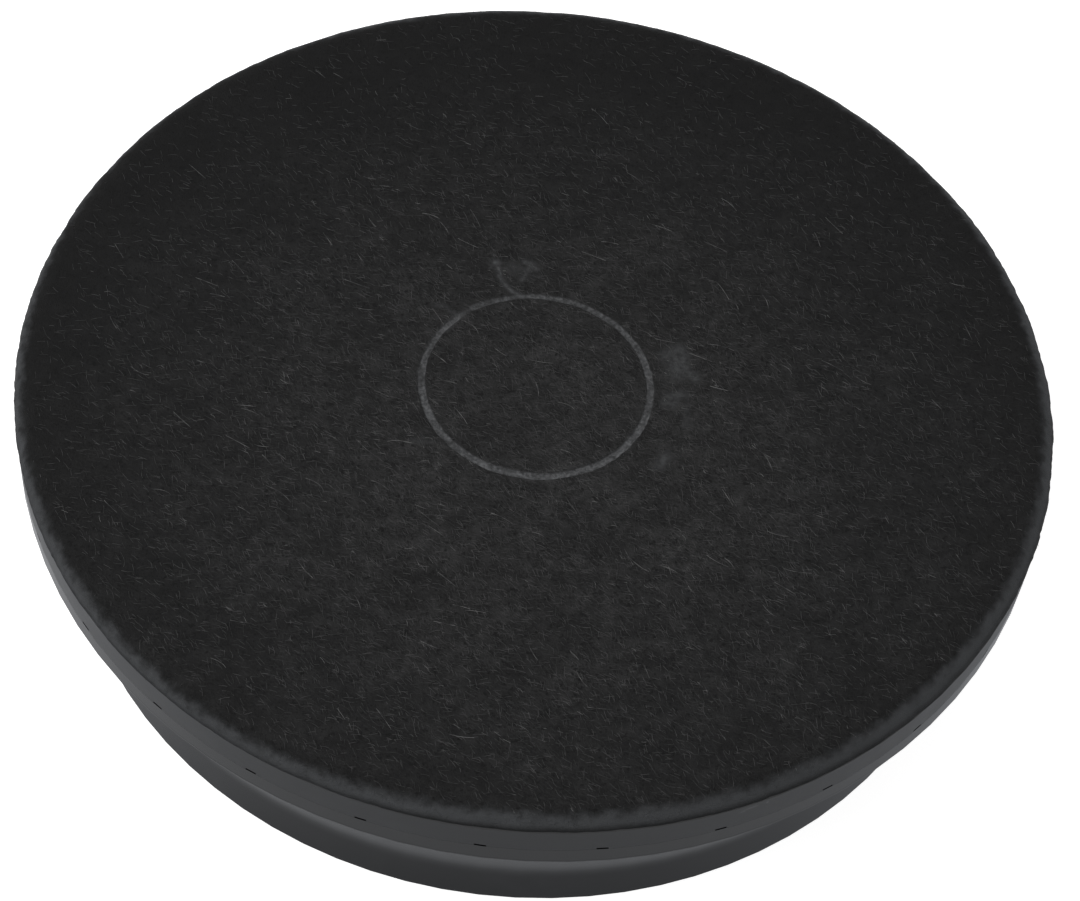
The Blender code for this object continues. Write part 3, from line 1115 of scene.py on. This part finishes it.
    def fields(self) -> tuple[tuple[FibreField, LooseFibre], ...]:
        """List the kinds of loose fibre on the disc, with the finish of each.

        Returns:
            Pairs of a fibre field and its finish, in the order in which they grow.
        """
        low_nap = FibreField(
            "felt_nap", density=525000.0, seed=11, shortest=0.0009, longest=0.0026,
            thickness=0.000045, lean=-0.60, drift=-0.8, spread=0.80, lift=0.06,
            outer_radius=self.radius - 0.004, steps=2,
        )
        high_nap = replace(
            low_nap, name="felt_nap_upper", seed=12, thickness=0.000036, spread=0.95, lift=0.11
        )
        strays = FibreField(
            "felt_strays", density=36000.0, seed=23, shortest=0.0006, longest=0.0021,
            thickness=0.000038, lean=-0.60, drift=-0.8, spread=0.75, lift=0.16,
            outer_radius=self.radius - 0.003, steps=3,
        )
        strands = replace(
            strays, name="felt_strands", density=8000.0, seed=29, shortest=0.0026, longest=0.0064,
            thickness=0.000050, spread=0.60, lift=0.05, outer_radius=self.radius - 0.0115, steps=5,
        )
        fuzz = FibreField(
            "edge_fuzz", density=1300000.0, seed=37, shortest=0.0004, longest=0.0013,
            thickness=0.000020, lean=0.0, drift=0.0, spread=3.1, lift=0.7,
            inner_radius=self.radius - 0.0030, steps=3,
        )
        dull = LooseFibre("fibre_dull", (0.016, 0.016, 0.016), (0.052, 0.052, 0.053))
        plain = LooseFibre("fibre_plain", (0.022, 0.022, 0.022), (0.090, 0.090, 0.091))
        # Painted glints: this finish's light tone partly stands in for the shine of single stray
        # fibres and strands.
        painted_glint = LooseFibre("fibre_painted_glint", (0.040, 0.040, 0.041), (0.19, 0.19, 0.19))
        return (
            (low_nap, dull), (high_nap, plain), (strays, painted_glint), (strands, painted_glint), (fuzz, dull)
        )

    def build(self) -> None:
        """Make the disc and its fibres."""
        mesh = RoundSheet(self.profile()).mesh("felt_disc")
        self.shape(mesh)
        mesh.materials.append(self.finish().material())
        for field, finish in self.fields():
            fasten(field.grow(mesh, finish.material()), "felt")
        fasten(add_piece("felt_disc", mesh), "felt", "top_felt")


class JointSide(Enum):
    """Which way a moulding's joint face looks."""

    UPWARD = 1.0
    DOWNWARD = -1.0


@dataclass(frozen=True)
class EdgeRound:
    """A moulding's outer lower edge: its chamfer in the frame and the round it gets here.

    The round ends in a short upright band, so that the wall above it keeps its own shading.
    A size and a band of zero make a crisp edge.
    """

    low: float
    high: float
    within: float
    reach: float
    size: float = 0.0
    band: float = 0.0
    cuts: int = 0

    @property
    def bent(self) -> float:
        """The share of the chamfer's strips that the round takes, all but the topmost."""
        return self.cuts / (self.cuts + 1.0) if self.cuts else 0.5

    def holds(self, vert: BMVert, low: float, high: float) -> bool:
        """Tell whether a corner lies on the edge, between two heights."""
        slack = 0.00002
        return off_axis(vert.co) > self.within and low - slack < vert.co.z < high + slack

    def apply(self, shape: BMesh) -> None:
        """Turn the chamfer into a quarter round, or into a crisp edge.

        Args:
            shape: The moulding's shape, with its flat faces merged.
        """
        bridge = [
            edge
            for edge in shape.edges
            if any(self.holds(v, self.low, self.low) for v in edge.verts)
            and any(self.holds(v, self.high, self.high) for v in edge.verts)
        ]
        if self.cuts:
            bmesh.ops.subdivide_edges(shape, edges=bridge, cuts=self.cuts, use_grid_fill=True)
        for vert in shape.verts:
            if self.holds(vert, self.low, self.high):
                share = (vert.co.z - self.low) / (self.high - self.low)
                turn = 0.5 * math.pi * min(share / self.bent, 1.0)
                radius = self.reach - self.size * (1.0 - math.sin(turn))
                above = self.band * max(share - self.bent, 0.0) / (1.0 - self.bent)
                move_to(vert, radius)
                vert.co.z = self.low + self.size * (1.0 - math.cos(turn)) + above
        bmesh.ops.remove_doubles(shape, verts=shape.verts, dist=MERGE_DISTANCE)
        log.info("edge at %.4f m: %d chamfer edges, round %.4f m", self.low, len(bridge), self.size)


@dataclass(frozen=True)
class WallFlare:
    """The tray's side wall: it bends outwards from the foot band, then runs almost straight."""

    foot: float = 0.0083
    bend_end: float = 0.0139
    straight_end: float = 0.0182
    top: float = 0.0332
    foot_radius: float = 0.1031
    top_radius: float = 0.1111
    lean: float = math.radians(18.0)
    cuts: int = 9
    slack: float = 0.0003
    reach: float = 0.0082
    tall: float = 0.012

    def radius(self, height: float) -> float:
        """Give the wall's outer radius at a height above the foot band.

        Args:
            height: The height above the floor.

        Returns:
            The radius at that height.
        """
        bend = (self.bend_end - self.foot) / math.sin(self.lean)
        if height < self.bend_end:
            return self.foot_radius + bend - math.sqrt(bend**2 - (height - self.foot) ** 2)
        start = self.foot_radius + bend * (1.0 - math.cos(self.lean))
        straight = start + (min(height, self.straight_end) - self.bend_end) * math.tan(self.lean)
        share = max(height - self.straight_end, 0.0) / (self.top - self.straight_end)
        return straight + (self.top_radius - straight) * share

    def faces(self, shape: BMesh) -> list[BMFace]:
        """Find the wall's outer faces above the foot band.

        Args:
            shape: The tray's shape, with its normals up to date.

        Returns:
            The faces.
        """
        found = []
        for face in shape.faces:
            middle = face.calc_center_median()
            away = off_axis(middle)
            near = -self.slack < away - self.foot_radius < self.reach
            if near and self.foot < middle.z < self.top:
                if face.normal.x * middle.x + face.normal.y * middle.y > 0.6 * away:
                    found.append(face)
        return found

    def apply(self, shape: BMesh) -> None:
        """Ring the wall with more corners and bend it.

        Args:
            shape: The tray's shape, with its flat faces merged.
        """
        shape.normal_update()
        tall = {
            edge
            for face in self.faces(shape)
            for edge in face.edges
            if abs(edge.verts[0].co.z - edge.verts[1].co.z) > self.tall
        }
        bmesh.ops.subdivide_edges(shape, edges=list(tall), cuts=self.cuts, use_grid_fill=True)
        shape.normal_update()
        moved = {vert for face in self.faces(shape) for vert in face.verts}
        for vert in moved:
            move_to(vert, self.radius(vert.co.z))
        log.info("wall flare: %d tall edges, %d corners", len(tall), len(moved))


@dataclass
class Moulding:
    """One black moulding: its frame shape, welded and smoothed, with a moulded finish."""

    node: str
    finish: MouldedPlastic
    slot: str
    joint_side: JointSide
    joint_reach: float = 0.000146
    chamfer: float = 0.00017
    refined: tuple[EdgeRound | WallFlare, ...] = ()
    rim_from: float = 0.1130
    joint_past: float = 0.002
    chamfer_past: float = 0.0027
    chamfer_depth: float = 0.00025
    level_slack: float = 0.00002
    wall_past: float = 0.0018
    wall_facing: float = 0.97
    sharp_angle: float = 34.0

    def tighten(self, shape: BMesh) -> None:
        """Bring the rim's joint face close to the other moulding's, as the real snap fit does.

        Args:
            shape: The moulding's shape, whose joint face is moved.
        """
        rim = [v for v in shape.verts if off_axis(v.co) > self.rim_from]
        side = self.joint_side.value
        joint_from = self.rim_from + self.joint_past
        level = max(side * v.co.z for v in rim if off_axis(v.co) > joint_from)
        for vert in rim:
            depth = level - side * vert.co.z
            outside = off_axis(vert.co) > self.rim_from + self.chamfer_past
            if depth < self.level_slack:
                vert.co.z += side * self.joint_reach
            elif depth < self.chamfer_depth and outside:
                vert.co.z += side * (self.joint_reach + self.chamfer)

    def shade_rim(self, mesh: Mesh) -> None:
        """Shade the rim's outer wall as a round one, whatever notches cut its faces.

        Args:
            mesh: The moulding's mesh, already shaded smooth.
        """
        normals = [corner.vector.copy() for corner in mesh.corner_normals]
        for face in mesh.polygons:
            middle = Vector((face.center.x, face.center.y, 0.0))
            facing = face.normal.dot(middle.normalized())
            if middle.length < self.rim_from + self.wall_past or facing < self.wall_facing:
                continue
            for index in face.loop_indices:
                place = mesh.vertices[mesh.loops[index].vertex_index].co
                outward = Vector((place.x, place.y, 0.0)).normalized()
                outward.z = face.normal.z
                normals[index] = outward.normalized()
        mesh.normals_split_custom_set(normals)

    def build(self, frame: dict) -> None:
        """Copy the node's shape into a smooth piece and dress it.

        Args:
            frame: The loaded frame.
        """
        shape = bmesh.new()
        shape.from_mesh(frame["nodes"][self.node].data)
        bmesh.ops.remove_doubles(shape, verts=shape.verts, dist=MERGE_DISTANCE)
        self.tighten(shape)
        flatten(shape)
        for step in self.refined:
            step.apply(shape)
        mesh = finished(shape, self.node + "_moulding")
        mesh.set_sharp_from_angle(angle=math.radians(self.sharp_angle))
        self.shade_rim(mesh)
        mesh.materials.clear()
        mesh.materials.append(self.finish.material())
        fasten(add_piece(self.node + "_moulding", mesh), self.slot, self.node)


@dataclass
class Mouldings:
    """The tray and the lid."""

    tray: Moulding
    lid: Moulding

    @classmethod
    def standard(cls) -> Mouldings:
        """Make both mouldings in their usual finishes.

        Returns:
            The tray and the lid.
        """
        tray_finish = MouldedPlastic(
            "tray_plastic", (0.0050, 0.0050, 0.0053), (0.010, 0.010, 0.0106), 0.07
        )
        scuffs = (
            Scuff(-61.6, 0.0447, 0.0028, 0.00055),
            Scuff(-62.5, 0.0441, 0.0012, 0.00040),
            Scuff(-59.7, 0.0448, 0.0006, 0.00060, (0.110, 0.110, 0.115)),
        )
        lid_finish = MouldedPlastic(
            "lid_plastic", (0.0100, 0.0105, 0.0118), (0.015, 0.0158, 0.0175), 0.30, scuffs=scuffs
        )
        return cls(
            tray=Moulding(
                "tray",
                tray_finish,
                "tray_plastic",
                JointSide.UPWARD,
                refined=(
                    EdgeRound(0.0332, 0.0336, 0.1148, 0.1156, size=0.0010, band=0.0003, cuts=5),
                    EdgeRound(0.0, 0.0004, 0.1020, 0.1031),
                    WallFlare(),
                ),
            ),
            lid=Moulding("lid", lid_finish, "lid_plastic", JointSide.DOWNWARD),
        )

    def build(self, frame: dict) -> None:
        """Build the tray, then the lid."""
        self.tray.build(frame)
        self.lid.build(frame)


@dataclass
class BottomFleece:
    """The fleece that the granules lie on, seen through the grid, with their bumps in it."""

    granule: float = GRANULE
    bulge: float = 0.00022
    ring_step: float = 0.0016
    round_steps: int = 240

    def build(self) -> None:
        """Make the fleece as a ring with a bumpy underside."""
        low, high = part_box("bottom_fleece")
        outer = (high.x - low.x) / 2.0
        inner = self.inner_radius()
        shape = bmesh.new()
        radii = np.arange(inner, outer, self.ring_step).tolist() + [outer]
        under = [self.loop(shape, radius, low.z, True) for radius in radii]
        upper = [self.loop(shape, radius, high.z, False) for radius in (outer, inner)]
        loops = under + upper
        for first, second in zip(loops, loops[1:] + loops[:1]):
            RoundSheet.band(shape, first, second)
        bmesh.ops.recalc_face_normals(shape, faces=shape.faces)
        mesh = finished(shape, "fleece_sheet")
        tones = ((0.012, 0.012, 0.012), (0.045, 0.045, 0.046))
        finish = ThinFleece("bonded_fleece", *tones, self.granule)
        mesh.materials.append(finish.material())
        fasten(add_piece("fleece_sheet", mesh), "fleece", "bottom_fleece")

    @staticmethod
    def inner_radius() -> float:
        """Measure the hole round the hub from the frame."""
        mesh = bpy.data.objects["bottom_fleece"].data
        return min(off_axis(v.co) for v in mesh.vertices)

    def loop(self, shape: BMesh, radius: float, height: float, bumpy: bool) -> list[BMVert]:
        """Add one ring of points.

        Args:
            shape: The mesh under way.
            radius: The ring's radius.
            height: The ring's height.
            bumpy: Whether granules lift the points.

        Returns:
            The ring's vertices.
        """
        ring = []
        for step in range(self.round_steps):
            turn = math.tau * step / self.round_steps
            place = Vector((radius * math.cos(turn), radius * math.sin(turn), height))
            if bumpy:
                place.z += self.bulge * abs(noise.noise(place / self.granule * 1.4))
            ring.append(shape.verts.new(place))
        return ring


@dataclass
class CarbonBed:
    """The granules' bulk, which the fleece and the mouldings hide."""

    finish: CarbonGranules = CarbonGranules(
        "carbon_granules", (0.0045, 0.0045, 0.0046), (0.013, 0.013, 0.013), GRANULE
    )

    def build(self, frame: dict) -> None:
        """Dress the frame's own solid.

        Args:
            frame: The loaded frame.
        """
        node = frame["nodes"]["carbon_bed"]
        node.data.materials.clear()
        node.data.materials.append(self.finish.material())
        log.info("carbon_bed: keeps its shape")


@dataclass
class Studio:
    """A pale floor, a white surround, soft lamps and the camera."""

    floor_size: float = 6.0
    camera_place: tuple[float, float, float] = (0.0021265, -0.6824554, 0.9040917)
    right: tuple[float, float, float] = (0.99326859, 0.09141581, 0.07113833)
    up: tuple[float, float, float] = (-0.11583398, 0.78388436, 0.6100064)
    forward: tuple[float, float, float] = (0.0, 0.61414042, -0.78919677)
    lens: float = 163.0
    floor_tone: float = 0.62
    floor_tone_in_shine: float = 0.30
    floor_glow: float = 0.86
    floor_glow_in_shine: float = 0.28
    shine_tint: Colour = (0.95, 0.985, 1.05)
    even_light: float = 0.45

    def build(self) -> None:
        """Build everything round the object."""
        self.add_floor()
        self.add_world()
        self.add_lamps()
        self.add_camera()
        bpy.context.scene.view_settings.view_transform = "Standard"

    def seen_directly(self, graph: NodeGraph) -> NodeSocket:
        """Tell rays that see a surface straight, in a mirror or through glass.

        Args:
            graph: The tree to build in.

        Returns:
            1 for such rays and 0 for all others.
        """
        path = graph.add("ShaderNodeLightPath").outputs
        mirrored = graph.math("MAXIMUM", path["Is Glossy Ray"], path["Is Transmission Ray"])
        return graph.math("MAXIMUM", path["Is Camera Ray"], mirrored)

    def add_floor(self) -> None:
        """Lay a white floor that keeps a soft shadow."""
        half = self.floor_size / 2.0
        mesh = bpy.data.meshes.new("floor")
        square = [(-half, -half, 0.0), (half, -half, 0.0), (half, half, 0.0), (-half, half, 0.0)]
        mesh.from_pydata(square, [], [(0, 1, 2, 3)])
        material = bpy.data.materials.new("floor_white")
        material.use_nodes = True
        graph = NodeGraph(material.node_tree)
        material.node_tree.nodes.clear()
        path = graph.add("ShaderNodeLightPath").outputs
        glossy = path["Is Glossy Ray"]
        change = self.floor_tone_in_shine - self.floor_tone
        shine = graph.math("MULTIPLY_ADD", glossy, change, self.floor_tone)
        tone = graph.add("ShaderNodeCombineColor")
        graph.put(tone, Red=shine, Green=shine, Blue=shine)
        matt = graph.put(graph.add("ShaderNodeBsdfDiffuse"), Color=tone.outputs[0])
        straight = graph.times(path["Is Camera Ray"], self.floor_glow)
        glow_share = graph.math("MULTIPLY_ADD", glossy, self.floor_glow_in_shine, straight)
        tint = graph.mixed(glossy, WHITE, self.shine_tint)
        glow = graph.put(graph.add("ShaderNodeEmission"), Color=tint, Strength=glow_share)
        both = graph.add("ShaderNodeAddShader")
        graph.feed(both.inputs[0], matt.outputs[0])
        graph.feed(both.inputs[1], glow.outputs[0])
        output = graph.add("ShaderNodeOutputMaterial")
        graph.put(output, Surface=both.outputs[0])
        mesh.materials.append(material)
        add_piece("floor", mesh)

    def add_world(self) -> None:
        """Surround the scene with white where it is seen, and with even light elsewhere."""
        world = bpy.data.worlds.new("surround")
        bpy.context.scene.world = world
        world.use_nodes = True
        graph = NodeGraph(world.node_tree)
        back = world.node_tree.nodes["Background"]
        seen = self.seen_directly(graph)
        extra = 1.0 - self.even_light
        strength = graph.math("MULTIPLY_ADD", seen, extra, self.even_light)
        graph.put(back, Color=(*WHITE, 1.0), Strength=strength)

    def add_lamps(self) -> None:
        """Hang a large soft lamp above and a weaker one at the left."""
        self.lamp("key", (-0.55, -0.05, 1.05), 0.7, 6.0)
        self.lamp("side", (-1.0, -0.5, 0.50), 0.6, 3.5)

    @staticmethod
    def lamp(name: str, place: tuple[float, float, float], size: float, power: float) -> None:
        """Add a square soft lamp that faces the object.

        Args:
            name: The lamp's name.
            place: Where it hangs.
            size: Its width.
            power: Its power in watts.
        """
        light = bpy.data.lights.new(name, "AREA")
        light.size = size
        light.energy = power
        item = bpy.data.objects.new(name, light)
        item.location = place
        item.rotation_euler = (-Vector(place)).to_track_quat("-Z", "Y").to_euler()
        bpy.context.scene.collection.objects.link(item)

    def add_camera(self) -> None:
        """Put the camera at the photograph's viewing angle."""
        data = bpy.data.cameras.new("camera")
        data.sensor_width = 36.0
        data.lens = self.lens
        data.clip_start = 0.01
        camera = bpy.data.objects.new("camera", data)
        back = -Vector(self.forward)
        columns = Matrix((self.right, self.up, tuple(back))).transposed()
        camera.matrix_world = Matrix.Translation(self.camera_place) @ columns.to_4x4()
        bpy.context.scene.collection.objects.link(camera)
        bpy.context.scene.camera = camera


def main() -> None:
    """Build every piece in order and report each one."""
    logging.basicConfig(level=logging.INFO, format="%(name)s: %(message)s")
    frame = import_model()
    Mouldings.standard().build(frame)
    BottomFleece().build()
    CarbonBed().build(frame)
    FeltTop().build()
    Studio().build()


if __name__ == "__main__":
    main()
